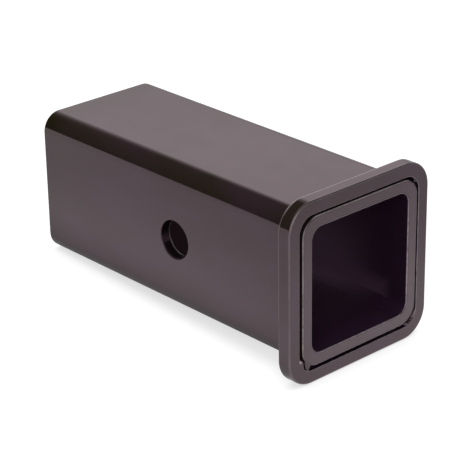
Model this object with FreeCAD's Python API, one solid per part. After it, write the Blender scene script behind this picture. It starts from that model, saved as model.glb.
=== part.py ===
import FreeCAD
import Part
import os

# Hitch adapter sleeve. The tube slides into a 2-1/2 in receiver and takes a 2 in shank in its own mouth.
# The collar round the mouth stops it at the receiver, and tack welds in the corners of the seam hold the collar.
# The tube's axis is X and its mouth faces +X, Y is across and Z is up.
# The origin is on the tube's axis, at the centre of the hole for the hitch pin. All sizes are in millimetres.

# Tube
tube_width = 63.5
tube_wall = 5.1
tube_length = 159.0
tube_corner_radius = 8.2
socket_corner_radius = 5.2
tube_edge_radius = 0.5

# Hole for the hitch pin, through both side walls
pin_diameter = 15.9
pin_clearance = 0.4
pin_hole_edge_radius = 0.4
pin_to_seat = 67.6

# Collar
collar_thickness = 6.4
collar_rim = 5.6
collar_corner_radius = 12.0
collar_edge_radius = 0.8
tube_proud = 0.4

# Seam between the tube and the collar's opening, which is tighter in its corners than the tube is
seam_gap = 1.2
seam_corner_relief = 1.0
seam_edge_radius = 0.3
collar_drop = 0.5

# Tack welds in the seam's corners
weld_span = 7.0
weld_root_setback = 1.0
upper_weld_recess = 3.4
lower_weld_recess = 0.4

# Room that a cutting shape has past the faces it cuts through, and how far off a plane an edge may lie
cut_overrun = 5.0
tolerance = 0.001

# Worked out from the sizes above
socket_width = tube_width - 2 * tube_wall
pin_hole_radius = pin_diameter / 2 + pin_clearance
collar_rear = pin_to_seat
collar_front = collar_rear + collar_thickness
tube_front = collar_front + tube_proud
tube_rear = tube_front - tube_length
opening_width = tube_width + 2 * seam_gap
opening_corner_radius = tube_corner_radius - seam_corner_relief
collar_width = opening_width + 2 * collar_rim

# The seam's corners, seen looking into the mouth: name, degrees from straight up about X, and weld recess
SEAM_CORNERS = (
    ("top_left", 45, upper_weld_recess),
    ("top_right", -45, upper_weld_recess),
    ("bottom_left", 135, lower_weld_recess),
    ("bottom_right", -135, lower_weld_recess),
)


def square_bar(width, corner_radius, x_low, x_high, z_middle=0.0):
    """Square bar along X with its four long edges rounded."""
    corner = FreeCAD.Vector(x_low, -width / 2, z_middle - width / 2)
    box = Part.makeBox(x_high - x_low, width, width, corner)
    long_edges = [edge for edge in box.Edges if edge.BoundBox.XLength > (x_high - x_low) / 2]
    return box.makeFillet(corner_radius, long_edges)


def edges_at(shape, x, reach):
    """Edges of a shape in the plane at x that stay within a reach from the X axis along Y and Z."""
    found = []
    for edge in shape.Edges:
        box = edge.BoundBox
        flat = abs(box.XMin - x) < tolerance and abs(box.XMax - x) < tolerance
        near = max(-box.YMin, box.YMax, -box.ZMin, box.ZMax) < reach
        if flat and near:
            found.append(edge)
    return found


def sleeve_tube():
    """Square tube with broken edges at both ends and the pin hole through its side walls."""
    bar = square_bar(tube_width, tube_corner_radius, tube_rear, tube_front)
    socket = square_bar(socket_width, socket_corner_radius, tube_rear - cut_overrun, tube_front + cut_overrun)
    tube = bar.cut(socket)
    end_edges = edges_at(tube, tube_rear, tube_width) + edges_at(tube, tube_front, tube_width)
    tube = tube.makeFillet(tube_edge_radius, end_edges)
    start = FreeCAD.Vector(0, -tube_width / 2 - cut_overrun, 0)
    pin_hole = Part.makeCylinder(pin_hole_radius, tube_width + 2 * cut_overrun, start, FreeCAD.Vector(0, 1, 0))
    tube = tube.cut(pin_hole)
    rims = [edge for edge in tube.Edges if is_pin_rim(edge)]
    return tube.makeFillet(pin_hole_edge_radius, rims)


def is_pin_rim(edge):
    """Whether an edge is one of the pin hole's four rims, which lie flat across Y."""
    flat = edge.BoundBox.YLength < tolerance
    round_edge = isinstance(edge.Curve, Part.Circle)
    return flat and round_edge and abs(edge.Curve.Radius - pin_hole_radius) < tolerance


def collar():
    """Ring of plate with rounded corners, its outer edges rounded and its opening's edges broken."""
    plate = square_bar(collar_width, collar_corner_radius, collar_rear, collar_front, -collar_drop)
    outer_edges = edges_at(plate, collar_rear, collar_width) + edges_at(plate, collar_front, collar_width)
    plate = plate.makeFillet(collar_edge_radius, outer_edges)
    opening = square_bar(
        opening_width, opening_corner_radius, collar_rear - cut_overrun, collar_front + cut_overrun, -collar_drop
    )
    ring = plate.cut(opening)
    inside_rim = (opening_width + collar_rim) / 2
    opening_edges = edges_at(ring, collar_rear, inside_rim) + edges_at(ring, collar_front, inside_rim)
    return ring.makeFillet(seam_edge_radius, opening_edges)


def corner_weld(degrees_from_up, recess):
    """Tack weld that fills one corner of the seam between the tube and the collar's opening."""
    x_low = collar_rear + weld_root_setback
    x_high = collar_front - recess
    opening = square_bar(opening_width, opening_corner_radius, x_low, x_high, -collar_drop)
    seam = opening.cut(square_bar(tube_width, tube_corner_radius, x_low, x_high))
    slab = Part.makeBox(x_high - x_low, weld_span, opening_width, FreeCAD.Vector(x_low, -weld_span / 2, 0))
    slab.rotate(FreeCAD.Vector(0, 0, 0), FreeCAD.Vector(1, 0, 0), degrees_from_up)
    return seam.common(slab)


def build():
    """All pieces of the sleeve by name."""
    pieces = {"sleeve_tube": sleeve_tube(), "collar": collar()}
    for name, degrees_from_up, recess in SEAM_CORNERS:
        pieces["weld_" + name] = corner_weld(degrees_from_up, recess)
    return pieces


os.makedirs("parts", exist_ok=True)
for name, shape in build().items():
    shape.exportStep(os.path.join("parts", name + ".step"))
    print(name, "valid", shape.isValid(), "solids", len(shape.Solids), "volume", round(shape.Volume, 1))
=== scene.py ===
"""Hitch adapter sleeve: coated tube and collar, weld beads, floor, light and camera, in metres."""
import bpy
import math
from mathutils import Matrix, Vector, noise


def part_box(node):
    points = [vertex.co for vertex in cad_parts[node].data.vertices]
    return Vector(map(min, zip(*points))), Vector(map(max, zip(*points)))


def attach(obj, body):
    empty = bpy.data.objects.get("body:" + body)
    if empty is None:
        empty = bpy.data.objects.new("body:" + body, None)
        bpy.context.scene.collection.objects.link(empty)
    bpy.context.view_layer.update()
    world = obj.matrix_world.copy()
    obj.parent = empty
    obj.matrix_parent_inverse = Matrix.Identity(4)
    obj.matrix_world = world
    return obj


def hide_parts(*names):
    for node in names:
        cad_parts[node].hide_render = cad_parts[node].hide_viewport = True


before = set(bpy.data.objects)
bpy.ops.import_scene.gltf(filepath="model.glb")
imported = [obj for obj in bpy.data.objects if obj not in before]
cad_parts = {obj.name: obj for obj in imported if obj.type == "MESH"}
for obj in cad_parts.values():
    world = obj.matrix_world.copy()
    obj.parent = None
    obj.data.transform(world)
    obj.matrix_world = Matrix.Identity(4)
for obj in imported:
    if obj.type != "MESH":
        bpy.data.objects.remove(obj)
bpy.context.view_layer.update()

MM = 0.001
BODY = "root"
WHITE = (1.0, 1.0, 1.0, 1.0)

# Places of the pieces in the frame, and how near two places count as the same
TUBE_LOW, TUBE_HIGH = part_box("sleeve_tube")
COLLAR_LOW, COLLAR_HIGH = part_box("collar")
TUBE_MIDDLE = (TUBE_LOW.x + TUBE_HIGH.x) / 2
SAME_PLACE = 0.01 * MM

# Tube
TUBE_HALF = TUBE_HIGH.y
TUBE_RADIUS = 8.2 * MM
TUBE_EDGE = 0.5 * MM
TUBE_WALL = 5.1 * MM
SOCKET_HALF = TUBE_HALF - TUBE_WALL
SOCKET_RADIUS = 5.2 * MM
PIN_RADIUS = 8.35 * MM
PIN_EDGE = 0.4 * MM

# Collar, and the seam between its opening and the tube
COLLAR_HALF = COLLAR_HIGH.y
COLLAR_RADIUS = 12.0 * MM
COLLAR_EDGE = 0.8 * MM
COLLAR_MIDDLE = (COLLAR_LOW.z + COLLAR_HIGH.z) / 2
SEAM_GAP = 1.2 * MM
OPENING_HALF = TUBE_HALF + SEAM_GAP
OPENING_RADIUS = 7.2 * MM
OPENING_EDGE = 0.3 * MM

# Mesh of the tube and the collar: steps along flats, arcs and edges, and a window round each pin hole
FLAT_STEPS = 4
ARC_STEPS = 16
EDGE_STEPS = 5
FACE_STEPS = 4
COLLAR_STEPS = 3
LENGTH_STEP = 6.0 * MM
EDGE_REACH = 0.5 * MM
WINDOW_HALF = 13.0 * MM
WINDOW_STEPS = 16
WINDOW_RINGS = (0.3, 0.6, 0.85)
WINDOW_CORNER = math.pi / 4
ANGLE_SLACK = 0.001
SIDE_COUNT = 2 * FLAT_STEPS + WINDOW_STEPS + ARC_STEPS

# Wear and painted highlight of the tube's and collar's edges from 0 to 1, with shares for lips and upward
# edges at the front and rear
TUBE_EDGE_WEAR_AND_HIGHLIGHT = 1.0
TUBE_LIPS = (0.0, 0.0)
TUBE_UPWARD_WEAR_AND_HIGHLIGHT = (0.3, 0.3)
TUBE_CORNER_KEEP = 0.85
TUBE_FACE_WEAR = 0.125
COLLAR_EDGE_WEAR_AND_HIGHLIGHT = 0.4
COLLAR_LIPS = (0.25, 0.55)
COLLAR_UPWARD_WEAR_AND_HIGHLIGHT = (0.0, 2.5)
COLLAR_CORNER_KEEP = 0.0
COLLAR_FACE_WEAR = 0.0
OPENING_EDGE_WEAR_AND_HIGHLIGHT = 1.0
FACE_WEAR_LEAN = Vector((0.3, -0.15))
UPWARD_RANGE = (0.5, 1.0)
CORNER_RANGE = (0.0, 0.15)

# Wear and painted highlight of the pin hole's rims, most on the rim's underside
PIN_OUTER_WEAR = 0.06
PIN_INNER_WEAR_AND_HIGHLIGHT = 1.0
PIN_WEAR_DEPTH = 0.6 * MM
PIN_TOP_SHARE = 0.35
PIN_UNDERSIDE_RANGE = (0.0, 0.9)

# Weld beads in the seam's corners: lower ones flush with the collar, and upper ones deep in the seam
BEAD_SPREAD = math.radians(27)
BEAD_LONG_STEPS = 72
BEAD_ACROSS_STEPS = 32
BEAD_SHARP_ANGLE = math.radians(60)
BEAD_SINK = 0.06 * MM
BEAD_ROOT = 0.2 * MM
BEAD_UPPER_SLOPE = 1.2 * MM
BEAD_RISE = 0.05 * MM
BEAD_BELOW_TUBE = 0.02 * MM
BEAD_END_POWER = 8
BEAD_LAP = 0.6 * MM
BEAD_LAP_DROP = 0.25 * MM
BEAD_LAP_RANGE = (0.85, 1.0)

# Lumps of the lower beads, as a height, shares of it and lumps per millimetre
LUMP_HEIGHT = 0.12 * MM
LUMP_SCALE = 0.9
FINE_LUMP_SCALE = 2.3
FINE_LUMP_SHARE = 0.5

# Groove across each lower bead, and a flat spot that faces the camera, painted light as a highlight
GROOVE_DEPTH = 1.8 * MM
GROOVE_RANGE = (-0.75, 0.8)
SPATTER_RADIUS = 0.6 * MM
SPATTER_EDGE = 0.25
SPATTER_DEPTH = 0.2 * MM

# Camera: what it looks at, and where it stands from there
VIEW_CENTRE = Vector((0.7, 1.0, -7.9)) * MM
VIEW_DISTANCE = 798.6 * MM
VIEW_AZIMUTH = math.radians(47.67)
VIEW_ELEVATION = math.radians(24.22)
VIEW_ROLL = math.radians(-0.87)
LENS = 146.32
SENSOR = 36.0

# Coat: colours
COAT_PURPLE = (0.0265, 0.0155, 0.0195, 1.0)
COAT_OLIVE = (0.0185, 0.0130, 0.0085, 1.0)
COAT_REAR = (0.012, 0.010, 0.003, 1.0)
# Worn coat, also the colour of painted highlights on edges, rims and a weld
COAT_WEAR_AND_HIGHLIGHT = (0.42, 0.38, 0.39, 1.0)
COAT_INSIDE_END = (0.026, 0.012, 0.027, 1.0)
# Lighter colours painted as light deep in the socket and low on its side walls
INSIDE_PAINTED_LIGHT_DEEP = (0.062, 0.036, 0.058, 1.0)
INSIDE_PAINTED_LIGHT_REAR = (0.045, 0.026, 0.028, 1.0)
# Dark colour painted as shade on the pin holes' walls and on the upper beads deep in the seam
COAT_PAINTED_SHADE = (0.010, 0.006, 0.008, 1.0)
COAT_REFLECTION = (1.0, 0.72, 0.86, 1.0)
COAT_IOR = 1.80

# Coat: scales of its noise in lumps per metre, and which stretch of each noise counts
TONE_STRETCH = (0.35, 1.0, 1.0)
TONE_SCALE = 60.0
TONE_RANGE = (0.34, 0.66)
WEAR_SCALE = 300.0
WEAR_RANGE = (0.36, 0.62)
WEAR_CONTRAST = 0.6
GLOSS_SCALE = 90.0
GLOSS_RANGE = (0.3, 0.7)
PEEL_SCALE = 520.0
GRAIN_SCALE = 2600.0

# Coat: where its colour changes, and the socket's painted light, along X, from the tube's middle, up and
# across
FAR_END_RANGE = (TUBE_LOW.x + 2 * MM, TUBE_LOW.x + 16 * MM)
REAR_HALF_RANGE = (-30 * MM, -5 * MM)
MOUTH_RANGE = (60 * MM, 67 * MM)
SOCKET_END_RANGE = (40 * MM, 68 * MM)
SOCKET_LOW_RANGE = (-20 * MM, -13 * MM)
SOCKET_WALL_RANGE = (SOCKET_HALF - 0.45 * MM, SOCKET_HALF - 0.15 * MM)

# Floor, and the pool of light on it that reflections show, measured from the collar's lower edge
FLOOR_REACH = 3.0
FLOOR_ROUGHNESS = 0.9
CONTACT_SHARE = 0.7
CONTACT_SAMPLES = 8
POOL_MIDDLE = Vector((-74.8, 32.5)) * MM
POOL_HALF = Vector((220.0, 130.0)) * MM
POOL_EDGE = (0.45, 1.25)
POOL_BESIDE_RANGE = (15 * MM, 64 * MM)
POOL_FRONT_RANGE = (-10 * MM, 5 * MM)

# Backdrop in reflections, by the sine of the elevation and by the cosine of the angle from straight behind
BACKDROP_TINT = (1.0, 0.935, 0.955, 1.0)
BACKDROP_STEP = (0.342, 0.362)
BACKDROP_STEP_LEVELS = (0.78, 0.99)
BACKDROP_FOOT = (0.10, 0.32)
BACKDROP_FOOT_LEVELS = (0.6, 1.0)
BACKDROP_FADE = (0.38, 0.72)
BACKDROP_SIDES = (0.42, 0.62)

# Soft glow in front: where its middle is, and its edge by the cosine of the angle from there
GLOW_AZIMUTH = math.radians(50)
GLOW_ELEVATION = math.radians(18)
GLOW_EDGE = (0.70, 0.98)


class Surface:
    """Mesh being built, with a normal and marks for edge wear with painted highlight, inside and painted
    shade for each point.
    """

    def __init__(self):
        self.points = []
        self.normals = []
        self.wear_and_highlight = []
        self.inside = []
        self.painted_shade = []
        self.faces = []

    def add(self, point, normal, wear_and_highlight=0.0, inside=0.0, painted_shade=0.0):
        """Adds a point and returns its number."""
        self.points.append(point)
        self.normals.append(normal)
        self.wear_and_highlight.append(wear_and_highlight)
        self.inside.append(inside)
        self.painted_shade.append(painted_shade)
        return len(self.points) - 1

    def add_face(self, *corners):
        """Adds a four-sided face whose front is on the side that its points' normals point to."""
        places = [self.points[corner] for corner in corners]
        front = (places[2] - places[0]).cross(places[3] - places[1])
        lean = sum(front.dot(self.normals[corner]) for corner in corners)
        self.faces.append(corners if lean > 0 else corners[::-1])

    def bridge(self, first, second):
        """Joins two closed loops of as many points with quads."""
        count = len(first)
        for k in range(count):
            after = (k + 1) % count
            self.add_face(first[k], first[after], second[after], second[k])

    def piece(self, name):
        """The surface as a new object that is shaded with the normals given."""
        mesh = bpy.data.meshes.new(name)
        mesh.from_pydata(self.points, [], self.faces)
        mesh.shade_smooth()
        mesh.normals_split_custom_set_from_vertices(self.normals)
        store_mark(mesh, "wear_and_highlight", self.wear_and_highlight)
        store_mark(mesh, "inside", self.inside)
        store_mark(mesh, "painted_shade", self.painted_shade)
        return link(bpy.data.objects.new(name, mesh))


def store_mark(mesh, name, values):
    """Stores a value for each point of a mesh, which mark() reads in a material."""
    mesh.attributes.new(name, "FLOAT", "POINT").data.foreach_set("value", values)


def link(thing):
    """Puts an object in the scene."""
    bpy.context.scene.collection.objects.link(thing)
    return thing


def stand_for(piece, node):
    """Makes a piece stand for a node, whose own object it hides, and ride on the part's body."""
    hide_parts(node)
    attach(piece, BODY)
    return piece


def paint(piece, material):
    """Gives a piece one material in place of those it had."""
    piece.data.materials.clear()
    piece.data.materials.append(material)


def between(low, high, steps):
    """Evenly spaced values from low to high, both included."""
    return [low + (high - low) * k / steps for k in range(steps + 1)]


def smooth(low, high, value):
    """Smooth rise from 0 at low to 1 at high."""
    share = min(max((value - low) / (high - low), 0.0), 1.0)
    return share * share * (3 - 2 * share)


def direction_from(azimuth, elevation):
    """Unit vector towards a viewer at that azimuth and elevation: azimuth 0 is at -Y and 90 at +X."""
    flat = math.cos(elevation)
    return Vector((math.sin(azimuth) * flat, -math.cos(azimuth) * flat, math.sin(elevation)))


def flat_stations(flat):
    """Stations along one flat side, with a window of fixed size in the middle."""
    edge = between(WINDOW_HALF, flat, FLAT_STEPS)[1:]
    window = between(-WINDOW_HALF, WINDOW_HALF, WINDOW_STEPS)
    return [-value for value in reversed(edge)] + window + edge


def square_loop(half, radius):
    """Points and outward normals, across and up, once round a rounded square from its +Y side."""
    flat = half - radius
    places = []
    for quarter in range(4):
        turn = Matrix.Rotation(quarter * math.pi / 2, 2)
        for station in flat_stations(flat):
            places.append((turn @ Vector((half, station)), turn @ Vector((1, 0))))
        for step in range(1, ARC_STEPS):
            angle = math.pi / 2 * step / ARC_STEPS
            out = Vector((math.cos(angle), math.sin(angle)))
            places.append((turn @ (Vector((flat, flat)) + radius * out), turn @ out))
    return places


def edge_arc(x_edge, half, radius, size, wear_and_highlight, lip, inward, forward):
    """Stations round one rounded edge of a ring, from its long side to its end face: x, half width,
    corner radius, the normal's parts along X and outward, and wear with painted highlight. A lip on the
    long side has a share of that lightening."""
    side = 1 if inward else -1
    stations = []
    for angle in between(0.0, math.pi / 2, EDGE_STEPS):
        toward_end = math.sin(angle)
        toward_side = math.cos(angle)
        x = x_edge - forward * size * (1 - toward_end)
        inset = side * size * (1 - toward_side)
        normal = (forward * toward_end, side * toward_side)
        lightening = wear_and_highlight * max(math.sin(2 * angle), lip * toward_side)
        stations.append((x, half - inset, radius - inset, *normal, lightening))
    return stations


def face_stations(first, last, forward, wear_and_highlight):
    """Stations across an end face between its two rounded edges."""
    margin = EDGE_REACH / abs(first[1] - last[1])
    stations = []
    for share in (margin, *between(0, 1, FACE_STEPS)[1:-1], 1 - margin):
        half = first[1] + (last[1] - first[1]) * share
        radius = first[2] + (last[2] - first[2]) * share
        stations.append((first[0], half, radius, forward, 0, wear_and_highlight))
    return stations


def ring_section(x_low, x_high, outer, inner, stations, lips, face_wear):
    """Stations once round the wall of a ring: outside, front face, inside and rear face. Outer and inner
    give the half width, the corner radius, and the size and the wear with painted highlight of the rounded
    end edges. Lips are the shares of that lightening beside the front and rear outer edges."""
    front_outer = edge_arc(x_high, *outer, lips[0], True, 1)
    front_inner = edge_arc(x_high, *inner, 0.0, False, 1)
    rear_outer = edge_arc(x_low, *outer, lips[1], True, -1)
    rear_inner = edge_arc(x_low, *inner, 0.0, False, -1)
    outside = [(x, *outer[:2], 0, 1, 0) for x in stations]
    inside = [(x, *inner[:2], 0, -1, 0) for x in reversed(stations)]
    front = face_stations(front_outer[-1], front_inner[-1], 1, face_wear)
    rear = face_stations(rear_inner[-1], rear_outer[-1], -1, face_wear)
    front_half = outside + front_outer + front + front_inner[::-1]
    return front_half + inside + rear_inner + rear + rear_outer[::-1]


def ring_surface(section, z_middle, upward_wear_and_highlight, corner_keep, in_window):
    """Surface of a ring with that section, open where in_window() says so, and its points by row. Front
    and rear edges that face up have those shares of their wear and painted highlight, and corner edges
    lose that share of it. A lip, where the normal has no part along X, is lightened only facing up."""
    surface = Surface()
    rows = []
    for x, half, radius, normal_x, normal_out, wear_and_highlight in section:
        row = []
        for place, out in square_loop(half, radius):
            point = Vector((x, place.x, place.y + z_middle))
            normal = Vector((normal_x, out.x * normal_out, out.y * normal_out)).normalized()
            upward = smooth(*UPWARD_RANGE, out.y * normal_out)
            sideways = 1 - upward if normal_x else 0.0
            lightening = wear_and_highlight * (sideways + upward * upward_wear_and_highlight[0 if normal_x > 0 else 1])
            if normal_out == 0:
                lightening *= 1 + FACE_WEAR_LEAN.dot(out)
            else:
                lightening *= 1 - corner_keep * smooth(*CORNER_RANGE, 1 - max(abs(out.x), abs(out.y)))
            row.append(surface.add(point, normal, lightening, 1.0 if normal_out < -0.5 else 0.0))
        rows.append(row)
    count = len(rows[0])
    for i, row in enumerate(rows):
        below = rows[(i + 1) % len(rows)]
        for j in range(count):
            after = (j + 1) % count
            if not in_window(surface, row[j], below[j], j):
                surface.add_face(row[j], row[after], below[after], below[j])
    return surface, rows


def in_pin_window(surface, first, second, column):
    """Whether a face of the tube, from that column on, lies in one of the windows round the pin hole."""
    side, place = divmod(column, SIDE_COUNT)
    if side % 2 or not FLAT_STEPS <= place < FLAT_STEPS + WINDOW_STEPS:
        return False
    low, high = sorted((surface.points[first].x, surface.points[second].x))
    on_wall = abs(surface.normals[first].x) < 0.5
    return on_wall and low > -WINDOW_HALF - SAME_PLACE and high < WINDOW_HALF + SAME_PLACE


def in_no_window(surface, first, second, column):
    """For a ring with no window."""
    return False


def length_stations():
    """Stations along the tube, with the window's own stations in the middle."""
    front_end = TUBE_HIGH.x - TUBE_EDGE - EDGE_REACH
    rear_end = TUBE_LOW.x + TUBE_EDGE + EDGE_REACH
    front = between(WINDOW_HALF, front_end, round((front_end - WINDOW_HALF) / LENGTH_STEP))
    rear = between(rear_end, -WINDOW_HALF, round((-WINDOW_HALF - rear_end) / LENGTH_STEP))
    return rear[:-1] + between(-WINDOW_HALF, WINDOW_HALF, WINDOW_STEPS) + front[1:]


def window_loop(surface, rows, side, half):
    """Points round one window's border, in order of angle from its corner at +X, +Z."""
    first = side * SIDE_COUNT + FLAT_STEPS
    angles = {}
    for row in rows:
        for point in row[first:first + WINDOW_STEPS + 1]:
            place = surface.points[point]
            on_wall = abs(abs(place.y) - half) < SAME_PLACE
            reach = max(abs(place.x), abs(place.z))
            if on_wall and abs(reach - WINDOW_HALF) < SAME_PLACE:
                angle = math.atan2(place.z, place.x) - WINDOW_CORNER
                angles[point] = (angle + ANGLE_SLACK) % (2 * math.pi)
    return sorted(angles, key=angles.get)


def pin_hole(surface, rows, side):
    """Closes both windows of one side wall round the pin hole and joins them by the hole's wall."""
    out = 1 if side == 0 else -1
    outer = window_loop(surface, rows, side, TUBE_HALF)
    inner = window_loop(surface, rows, side, SOCKET_HALF)
    outer_rings = pin_rings(surface, outer, out * TUBE_HALF, Vector((0, out, 0)), PIN_OUTER_WEAR, 0.0)
    inner_rings = pin_rings(surface, inner, out * SOCKET_HALF, Vector((0, -out, 0)), PIN_INNER_WEAR_AND_HIGHLIGHT, 1.0)
    loops = [outer, *outer_rings, *reversed(inner_rings), inner]
    for first, second in zip(loops, loops[1:]):
        surface.bridge(first, second)


def pin_rings(surface, border, wall, axial, wear_and_highlight, inside):
    """Loops from a window's border in to the pin hole's rim, and round the rim into the hole. The rim's
    underside is lightened most, as wear and painted highlight, and the hole's wall is dark as painted
    shade."""
    rim = PIN_RADIUS + PIN_EDGE
    on_wall = Vector((0, wall, 0))
    spokes = []
    for k in range(len(border)):
        angle = WINDOW_CORNER + 2 * math.pi * k / len(border)
        spokes.append(Vector((math.cos(angle), 0, math.sin(angle))))
    rings = []
    for share in WINDOW_RINGS:
        ring = []
        for corner, spoke in zip(border, spokes):
            place = surface.points[corner].lerp(spoke * rim + on_wall, share)
            ring.append(surface.add(place, axial, 0.0, inside))
        rings.append(ring)
    for angle in between(0.0, math.pi / 2, EDGE_STEPS):
        ring = []
        for spoke in spokes:
            normal = axial * math.cos(angle) - spoke * math.sin(angle)
            place = spoke * rim + on_wall - axial * PIN_EDGE + normal * PIN_EDGE
            # Painted highlight on the rim, strongest on its underside
            underside = smooth(*PIN_UNDERSIDE_RANGE, -spoke.z)
            lightening = wear_and_highlight * math.sin(angle) * (PIN_TOP_SHARE + (1 - PIN_TOP_SHARE) * underside)
            ring.append(surface.add(place, normal, lightening, inside, math.sin(angle)))
        rings.append(ring)
    ring = []
    for spoke in spokes:
        place = spoke * PIN_RADIUS + on_wall - axial * (PIN_EDGE + PIN_WEAR_DEPTH)
        ring.append(surface.add(place, -spoke, 0.0, inside, 1.0))
    rings.append(ring)
    return rings


def make_tube():
    """Square tube with rounded long edges, broken end edges and a pin hole through its side walls."""
    outer = (TUBE_HALF, TUBE_RADIUS, TUBE_EDGE, TUBE_EDGE_WEAR_AND_HIGHLIGHT)
    inner = (SOCKET_HALF, SOCKET_RADIUS, TUBE_EDGE, TUBE_EDGE_WEAR_AND_HIGHLIGHT)
    stations = length_stations()
    section = ring_section(TUBE_LOW.x, TUBE_HIGH.x, outer, inner, stations, TUBE_LIPS, TUBE_FACE_WEAR)
    surface, rows = ring_surface(section, 0.0, TUBE_UPWARD_WEAR_AND_HIGHLIGHT, TUBE_CORNER_KEEP, in_pin_window)
    for side in (0, 2):
        pin_hole(surface, rows, side)
    return stand_for(surface.piece("tube"), "sleeve_tube")


def make_collar():
    """Flat ring round the mouth with rounded outer edges."""
    outer = (COLLAR_HALF, COLLAR_RADIUS, COLLAR_EDGE, COLLAR_EDGE_WEAR_AND_HIGHLIGHT)
    inner = (OPENING_HALF, OPENING_RADIUS, OPENING_EDGE, OPENING_EDGE_WEAR_AND_HIGHLIGHT)
    margin = COLLAR_EDGE + EDGE_REACH
    stations = between(COLLAR_LOW.x + margin, COLLAR_HIGH.x - margin, COLLAR_STEPS)
    section = ring_section(
        COLLAR_LOW.x, COLLAR_HIGH.x, outer, inner, stations, COLLAR_LIPS, COLLAR_FACE_WEAR
    )
    surface, _ = ring_surface(
        section, COLLAR_MIDDLE, COLLAR_UPWARD_WEAR_AND_HIGHLIGHT, COLLAR_CORNER_KEEP, in_no_window
    )
    return stand_for(surface.piece("collar_ring"), "collar")


def seam_ends(angle, side_z, lap):
    """Where a ray from the centre of the tube's corner leaves the tube, and where it is past the collar's
    opening by a lap, measured outward along Y and Z in one quarter of the section."""
    ray = Vector((math.cos(angle), math.sin(angle)))
    tube_flat = TUBE_HALF - TUBE_RADIUS
    opening_flat = OPENING_HALF - OPENING_RADIUS
    start = Vector((tube_flat, tube_flat))
    middle = Vector((opening_flat, opening_flat + side_z * COLLAR_MIDDLE))
    along = ray.dot(middle - start)
    off = (middle - start).length_squared - along ** 2
    reach = along + math.sqrt(OPENING_RADIUS ** 2 - off)
    return start + ray * (TUBE_RADIUS - BEAD_SINK), start + ray * (reach + BEAD_SINK + lap)


def bead_place(along, side_z, lap):
    """Ends of the seam at a place along a bead, from -1 to 1."""
    return seam_ends(math.pi / 4 + along * BEAD_SPREAD, side_z, lap)


def lower_bead_height(node_low, groove, along, across, place, width):
    """Height along X of a lower bead: lumpy, flush with the collar, with its groove and rounded ends."""
    spot = Vector((place.x, place.y, 0.0)) / MM
    lump = noise.noise(spot * LUMP_SCALE) + FINE_LUMP_SHARE * noise.noise(spot * FINE_LUMP_SCALE)
    x = COLLAR_HIGH.x + BEAD_RISE + LUMP_HEIGHT * lump
    x -= BEAD_LAP_DROP * smooth(*BEAD_LAP_RANGE, across)
    middle = groove[0] + (groove[1] - groove[0]) * smooth(*GROOVE_RANGE, along)
    x -= GROOVE_DEPTH * math.exp(-((across - middle) * width / groove[2]) ** 2)
    root = node_low + BEAD_ROOT
    return root + max(x - root, 0.0) * math.sqrt(max(1 - along ** BEAD_END_POWER, 0.0))


def flatten(x, y, z, spatter, side_y, side_z):
    """Height of a point of a lower bead near a small flat that faces the camera, and its painted
    highlight.
    """
    facing = direction_from(VIEW_AZIMUTH, VIEW_ELEVATION)
    inner, outer = bead_place(spatter[0], side_z, BEAD_LAP)
    middle = inner.lerp(outer, spatter[1])
    across, up = y - side_y * middle.x, z - side_z * middle.y
    inside, outside = (1 - SPATTER_EDGE) * SPATTER_RADIUS, (1 + SPATTER_EDGE) * SPATTER_RADIUS
    near = 1 - smooth(inside, outside, math.hypot(across, up))
    flat = COLLAR_HIGH.x - SPATTER_DEPTH - (facing.y * across + facing.z * up) / facing.x
    return x + (flat - x) * near, near


def make_bead(node, side_y, side_z, groove=None, spatter=None):
    """Tack weld that fills one corner of the seam. A lower one has a groove: where it starts and ends
    across the bead, and how wide it is. An upper one slopes away from the tube and is dark as painted
    shade.
    Spatter is the place along and across the bead of a flat painted light as a highlight, if it has one."""
    low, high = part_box(node)
    fronts, backs, points, wear_and_highlight = [], [], [], []
    for along in between(-1.0, 1.0, BEAD_LONG_STEPS):
        inner, outer = bead_place(along, side_z, BEAD_LAP if groove else 0.0)
        width = (outer - inner).length
        fronts.append([])
        backs.append([])
        for across in between(0.0, 1.0, BEAD_ACROSS_STEPS):
            place = inner.lerp(outer, across)
            y, z = side_y * place.x, side_z * place.y
            x, lightening = high.x - BEAD_UPPER_SLOPE * across, 0.0
            if groove:
                x = lower_bead_height(low.x, groove, along, across, place, width)
            if spatter:
                x, lightening = flatten(x, y, z, spatter, side_y, side_z)
            x = min(x, TUBE_HIGH.x - BEAD_BELOW_TUBE)
            for grid, height, lighten in ((fronts, x, lightening), (backs, low.x, 0.0)):
                grid[-1].append(len(points))
                points.append((height, y, z))
                wear_and_highlight.append(lighten)
    mesh = bpy.data.meshes.new(node + "_bead")
    mesh.from_pydata(points, [], shell_faces(fronts, backs))
    if side_y * side_z > 0:
        mesh.flip_normals()
    mesh.shade_smooth()
    mesh.set_sharp_from_angle(angle=BEAD_SHARP_ANGLE)
    store_mark(mesh, "wear_and_highlight", wear_and_highlight)
    # Upper beads are coloured dark as painted shade in the deep seam
    store_mark(mesh, "painted_shade", [0.0 if groove else 1.0] * len(points))
    return stand_for(link(bpy.data.objects.new(node + "_bead", mesh)), node)


def shell_faces(fronts, backs):
    """Faces of a closed shell of two grids of points, front and back, and the wall between their rims."""
    faces = []
    for i in range(len(fronts) - 1):
        for k in range(len(fronts[0]) - 1):
            faces.append((fronts[i][k], fronts[i + 1][k], fronts[i + 1][k + 1], fronts[i][k + 1]))
            faces.append((backs[i][k], backs[i][k + 1], backs[i + 1][k + 1], backs[i + 1][k]))
    front_rim, back_rim = grid_rim(fronts), grid_rim(backs)
    for k in range(len(front_rim)):
        after = (k + 1) % len(front_rim)
        faces.append((front_rim[after], front_rim[k], back_rim[k], back_rim[after]))
    return faces


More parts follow.
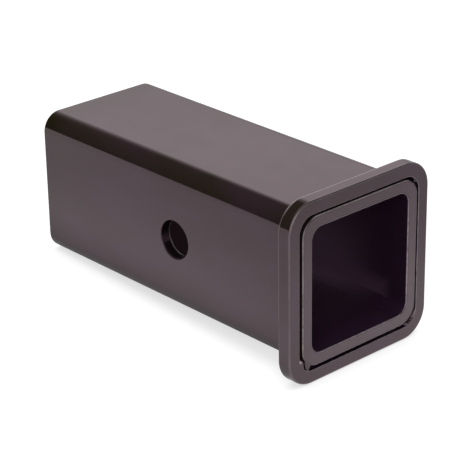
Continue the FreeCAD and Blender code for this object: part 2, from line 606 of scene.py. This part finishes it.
def grid_rim(rows):
    """Points once round the rim of a grid."""
    left = [row[0] for row in rows]
    right = [row[-1] for row in rows]
    return left + rows[-1][1:-1] + right[::-1] + rows[0][-2:0:-1]


def new_material(name):
    """New material, with its node tree and its shader."""
    material = bpy.data.materials.new(name)
    material.use_nodes = True
    tree = material.node_tree
    return material, tree, tree.nodes["Principled BSDF"]


def add_node(tree, kind, **settings):
    """New shader node with some of its properties set."""
    node = tree.nodes.new(kind)
    for name, value in settings.items():
        setattr(node, name, value)
    return node


def set_inputs(node, **values):
    """Sets a node's input sockets, named with underscores for spaces."""
    for name, value in values.items():
        node.inputs[name.replace("_", " ")].default_value = value


def mapped(tree, vector, **values):
    """A vector that is scaled and moved."""
    mapping = add_node(tree, "ShaderNodeMapping")
    set_inputs(mapping, **values)
    tree.links.new(vector, mapping.inputs["Vector"])
    return mapping.outputs["Vector"]


def parts_of(tree, vector):
    """A vector's parts along X, Y and Z."""
    split = add_node(tree, "ShaderNodeSeparateXYZ")
    tree.links.new(vector, split.inputs["Vector"])
    return split.outputs["X"], split.outputs["Y"], split.outputs["Z"]


def noise_field(tree, place, scale, detail=2.0, roughness=0.5):
    """Noise between 0 and 1 at a scale in lumps per metre."""
    field = add_node(tree, "ShaderNodeTexNoise")
    set_inputs(field, Scale=scale, Detail=detail, Roughness=roughness)
    tree.links.new(place, field.inputs["Vector"])
    return field.outputs["Fac"]


def spread(tree, value, low_in, high_in, low_out, high_out):
    """Maps one range of a value smoothly onto another."""
    ranged = add_node(tree, "ShaderNodeMapRange", interpolation_type="SMOOTHSTEP")
    set_inputs(ranged, From_Min=low_in, From_Max=high_in, To_Min=low_out, To_Max=high_out)
    tree.links.new(value, ranged.inputs["Value"])
    return ranged.outputs["Result"]


def combine(tree, operation, first, second):
    """Math on two values, each a socket or a number."""
    result = add_node(tree, "ShaderNodeMath", operation=operation)
    for socket, value in zip(result.inputs, (first, second)):
        if isinstance(value, (int, float)):
            socket.default_value = value
        else:
            tree.links.new(value, socket)
    return result.outputs["Value"]


def absolute(tree, value):
    """A value without its sign."""
    return combine(tree, "ABSOLUTE", value, 0.0)


def blend_colours(tree, factor, first, second):
    """Blend of two colours, each a socket or a colour, by a factor."""
    mix = add_node(tree, "ShaderNodeMix", data_type="RGBA")
    tree.links.new(factor, mix.inputs["Factor"])
    for socket, colour in ((mix.inputs[6], first), (mix.inputs[7], second)):
        if isinstance(colour, tuple):
            socket.default_value = colour
        else:
            tree.links.new(colour, socket)
    return mix.outputs[2]


def bump(tree, height, distance, below=None):
    """Bump of a height between 0 and 1 over a distance in metres, on top of another bump."""
    layer = add_node(tree, "ShaderNodeBump")
    set_inputs(layer, Strength=1.0, Distance=distance)
    tree.links.new(height, layer.inputs["Height"])
    if below is not None:
        tree.links.new(below, layer.inputs["Normal"])
    return layer.outputs["Normal"]


def mark(tree, name):
    """A value stored on the mesh's points."""
    return add_node(tree, "ShaderNodeAttribute", attribute_name=name).outputs["Fac"]


def cosine_to(tree, direction, axis):
    """Cosine of the angle between a direction and an axis."""
    product = add_node(tree, "ShaderNodeVectorMath", operation="DOT_PRODUCT")
    product.inputs[1].default_value = axis
    tree.links.new(direction, product.inputs[0])
    return product.outputs["Value"]


def seen_directly(tree):
    """1 where the eye sees a thing itself, and 0 where it lights or mirrors in others."""
    path = add_node(tree, "ShaderNodeLightPath").outputs
    return combine(tree, "MAXIMUM", path["Is Camera Ray"], path["Is Transmission Ray"])


def outside_colour(tree, place, x):
    """Colour of the coat outside, which drifts between two tones and is darker at the far end."""
    drift = noise_field(tree, mapped(tree, place, Scale=TONE_STRETCH), TONE_SCALE, 3.0)
    tone = spread(tree, drift, *TONE_RANGE, 0.0, 1.0)
    at_far_end = spread(tree, x, *FAR_END_RANGE, 1.0, 0.0)
    return blend_colours(tree, at_far_end, blend_colours(tree, tone, COAT_PURPLE, COAT_OLIVE), COAT_REAR)


def socket_colour(tree, x, y, z):
    """Colour in the socket: painted light deep inside and low on the side walls, less of it in the rear
    half, and the plain coat at the ends.
    """
    from_middle = absolute(tree, combine(tree, "SUBTRACT", x, TUBE_MIDDLE))
    near_end = spread(tree, from_middle, *SOCKET_END_RANGE, 0.0, 1.0)
    high_up = spread(tree, z, *SOCKET_LOW_RANGE, 0.0, 1.0)
    off_wall = spread(tree, absolute(tree, y), *SOCKET_WALL_RANGE, 1.0, 0.0)
    at_mouth = spread(tree, x, *MOUTH_RANGE, 0.0, 1.0)
    plain_coat = combine(tree, "MAXIMUM", combine(tree, "MAXIMUM", high_up, off_wall), at_mouth)
    rear_half = spread(tree, x, *REAR_HALF_RANGE, 1.0, 0.0)
    painted_light = blend_colours(tree, rear_half, INSIDE_PAINTED_LIGHT_DEEP, INSIDE_PAINTED_LIGHT_REAR)
    return blend_colours(tree, combine(tree, "MULTIPLY", near_end, plain_coat), painted_light, COAT_INSIDE_END)


def wear_and_highlight_share(tree, place):
    """How far the coat is lightened by wear and painted highlight, in patches where it is lightened most.
    """
    wear_and_highlight = mark(tree, "wear_and_highlight")
    patches = spread(tree, noise_field(tree, place, WEAR_SCALE, 5.0, 0.6), *WEAR_RANGE, WEAR_CONTRAST, 0.0)
    left = combine(tree, "SUBTRACT", 1.0, combine(tree, "MULTIPLY", wear_and_highlight, patches))
    return combine(tree, "MULTIPLY", wear_and_highlight, left)


def coat_material(name, roughness, peel_height, grain_height):
    """Semi-gloss black coat with changes of tone, orange peel, fine grain, worn edges with painted
    highlights, painted light in the socket and painted shade in the pin holes and upper beads.
    """
    material, tree, shader = new_material(name)
    set_inputs(shader, Metallic=0.0, IOR=COAT_IOR, Specular_Tint=COAT_REFLECTION)
    place = add_node(tree, "ShaderNodeTexCoord").outputs["Object"]
    x, y, z = parts_of(tree, place)
    colour = outside_colour(tree, place, x)
    colour = blend_colours(tree, mark(tree, "inside"), colour, socket_colour(tree, x, y, z))
    # Painted shade in the pin holes and on the upper beads
    colour = blend_colours(tree, mark(tree, "painted_shade"), colour, COAT_PAINTED_SHADE)
    colour = blend_colours(tree, wear_and_highlight_share(tree, place), colour, COAT_WEAR_AND_HIGHLIGHT)
    tree.links.new(colour, shader.inputs["Base Color"])
    gloss = noise_field(tree, place, GLOSS_SCALE, 4.0)
    tree.links.new(spread(tree, gloss, *GLOSS_RANGE, *roughness), shader.inputs["Roughness"])
    peel = bump(tree, noise_field(tree, place, PEEL_SCALE, 1.0), peel_height)
    grain = bump(tree, noise_field(tree, place, GRAIN_SCALE, 2.0), grain_height, peel)
    tree.links.new(grain, shader.inputs["Normal"])
    return material


def make_floor(material):
    """Floor under the collar's lower edge and the tube's far end, on which the sleeve lies."""
    front = Vector((COLLAR_LOW.x + COLLAR_EDGE, 0, COLLAR_LOW.z))
    rear = Vector((TUBE_LOW.x + TUBE_EDGE, 0, TUBE_LOW.z))
    slope = math.atan2(rear.z - front.z, front.x - rear.x)
    mesh = bpy.data.meshes.new("floor")
    corners = [(FLOOR_REACH * x, FLOOR_REACH * y, 0) for x, y in ((-1, -1), (1, -1), (1, 1), (-1, 1))]
    mesh.from_pydata(corners, [], [(0, 1, 2, 3)])
    floor = link(bpy.data.objects.new("floor", mesh))
    floor.location = front
    floor.rotation_euler = (0, slope, 0)
    paint(floor, material)


def floor_pool(tree, level_near, level_far):
    """Level of the floor in reflections: bright in a pool of light beside the part, and dark under it as
    painted shadow.
    """
    place = add_node(tree, "ShaderNodeTexCoord").outputs["Object"]
    shift = (-POOL_MIDDLE.x / POOL_HALF.x, -POOL_MIDDLE.y / POOL_HALF.y, 0.0)
    around = mapped(tree, place, Location=shift, Scale=(1 / POOL_HALF.x, 1 / POOL_HALF.y, 1.0))
    away = add_node(tree, "ShaderNodeVectorMath", operation="LENGTH")
    tree.links.new(around, away.inputs[0])
    pool = spread(tree, away.outputs["Value"], *POOL_EDGE, level_near, level_far)
    x, y, _ = parts_of(tree, place)
    beside = spread(tree, absolute(tree, y), *POOL_BESIDE_RANGE, 0.0, 1.0)
    in_front = spread(tree, x, *POOL_FRONT_RANGE, 0.0, 1.0)
    return combine(tree, "MULTIPLY", pool, combine(tree, "MAXIMUM", beside, in_front))


def floor_material(shade, glow, contact, pool_near, pool_far):
    """White floor that keeps shadows. Part of its white is its own glow: to the eye all over but with a
    painted contact shadow close under the part, and in reflections most round the part, where the light
    is."""
    material, tree, shader = new_material("white_floor")
    set_inputs(shader, Base_Color=(shade, shade, shade, 1.0), Roughness=FLOOR_ROUGHNESS)
    set_inputs(shader, Specular_IOR_Level=0.0, Emission_Color=WHITE)
    openness = add_node(tree, "ShaderNodeAmbientOcclusion", samples=CONTACT_SAMPLES)
    set_inputs(openness, Distance=contact)
    open_share = spread(tree, openness.outputs["AO"], 0.0, 1.0, CONTACT_SHARE, 1.0)
    seen = combine(tree, "MULTIPLY", combine(tree, "MULTIPLY", open_share, glow), seen_directly(tree))
    mirrors = add_node(tree, "ShaderNodeLightPath").outputs["Is Glossy Ray"]
    mirrored = combine(tree, "MULTIPLY", floor_pool(tree, pool_near, pool_far), mirrors)
    tree.links.new(combine(tree, "ADD", seen, mirrored), shader.inputs["Emission Strength"])
    return material


def make_world(room_level, glow_level):
    """White backdrop that fades out overhead and to the sides, in a dim room with a soft glow in front."""
    world = bpy.data.worlds.new("studio")
    bpy.context.scene.world = world
    world.use_nodes = True
    tree = world.node_tree
    background = tree.nodes["Background"]
    direction = add_node(tree, "ShaderNodeTexCoord").outputs["Generated"]
    _, _, height = parts_of(tree, direction)
    step = spread(tree, height, *BACKDROP_STEP, *BACKDROP_STEP_LEVELS)
    foot = spread(tree, height, *BACKDROP_FOOT, *BACKDROP_FOOT_LEVELS)
    fade = spread(tree, height, *BACKDROP_FADE, 1.0, 0.0)
    behind = cosine_to(tree, direction, (-math.sin(VIEW_AZIMUTH), math.cos(VIEW_AZIMUTH), 0.0))
    backdrop = spread(tree, behind, *BACKDROP_SIDES, 0.0, 1.0)
    for level in (step, foot, fade):
        backdrop = combine(tree, "MULTIPLY", backdrop, level)
    ahead = cosine_to(tree, direction, direction_from(GLOW_AZIMUTH, GLOW_ELEVATION))
    glow = spread(tree, ahead, *GLOW_EDGE, 0.0, glow_level)
    lit = combine(tree, "ADD", combine(tree, "MAXIMUM", backdrop, room_level), glow)
    direct = seen_directly(tree)
    tree.links.new(combine(tree, "MAXIMUM", lit, direct), background.inputs["Strength"])
    tree.links.new(blend_colours(tree, direct, BACKDROP_TINT, WHITE), background.inputs["Color"])


def make_softbox(name, azimuth, elevation, distance, width, height, light):
    """Rectangular lamp that faces the part from a direction, in degrees. Light is what falls on a card
    that faces it at the part, where a white card in light of pi looks white. It leaves no highlights."""
    lamp = bpy.data.lights.new(name, "AREA")
    lamp.shape = "RECTANGLE"
    lamp.size = width
    lamp.size_y = height
    lamp.energy = light * math.pi * distance ** 2
    box = link(bpy.data.objects.new(name, lamp))
    away = direction_from(math.radians(azimuth), math.radians(elevation))
    box.location = away * distance
    box.rotation_euler = (-away).to_track_quat("-Z", "Y").to_euler()
    box.visible_glossy = False


def make_camera():
    """Camera at the photograph's viewing angle."""
    camera = link(bpy.data.objects.new("camera", bpy.data.cameras.new("camera")))
    camera.data.lens = LENS
    camera.data.sensor_width = SENSOR
    back = direction_from(VIEW_AZIMUTH, VIEW_ELEVATION)
    turn = (-back).to_track_quat("-Z", "Y").to_matrix().to_4x4() @ Matrix.Rotation(VIEW_ROLL, 4, "Z")
    camera.matrix_world = Matrix.Translation(VIEW_CENTRE + VIEW_DISTANCE * back) @ turn
    bpy.context.scene.camera = camera


coat = coat_material("black_coat", roughness=(0.08, 0.12), peel_height=0.006 * MM, grain_height=0.001 * MM)
weld_coat = coat_material(
    "coated_weld", roughness=(0.16, 0.26), peel_height=0.02 * MM, grain_height=0.003 * MM
)
for piece in (make_tube(), make_collar()):
    paint(piece, coat)
beads = (
    make_bead("weld_top_left", -1, 1),
    make_bead("weld_top_right", 1, 1),
    make_bead("weld_bottom_left", -1, -1, groove=(0.03, 1.0, 0.3 * MM), spatter=(-0.74, 0.72)),
    make_bead("weld_bottom_right", 1, -1, groove=(0.42, 0.35, 0.75 * MM)),
)
for bead in beads:
    paint(bead, weld_coat)
make_floor(floor_material(shade=0.3, glow=0.9, contact=12 * MM, pool_near=0.70, pool_far=0.385))
make_world(room_level=0.03, glow_level=1.5)
make_softbox("overhead", azimuth=0, elevation=90, distance=1.5, width=1.8, height=1.8, light=2.8)
make_softbox("rear_lamp", azimuth=-68, elevation=12, distance=1.6, width=0.12, height=0.25, light=1.5)
make_camera()
bpy.context.scene.view_settings.view_transform = "Standard"
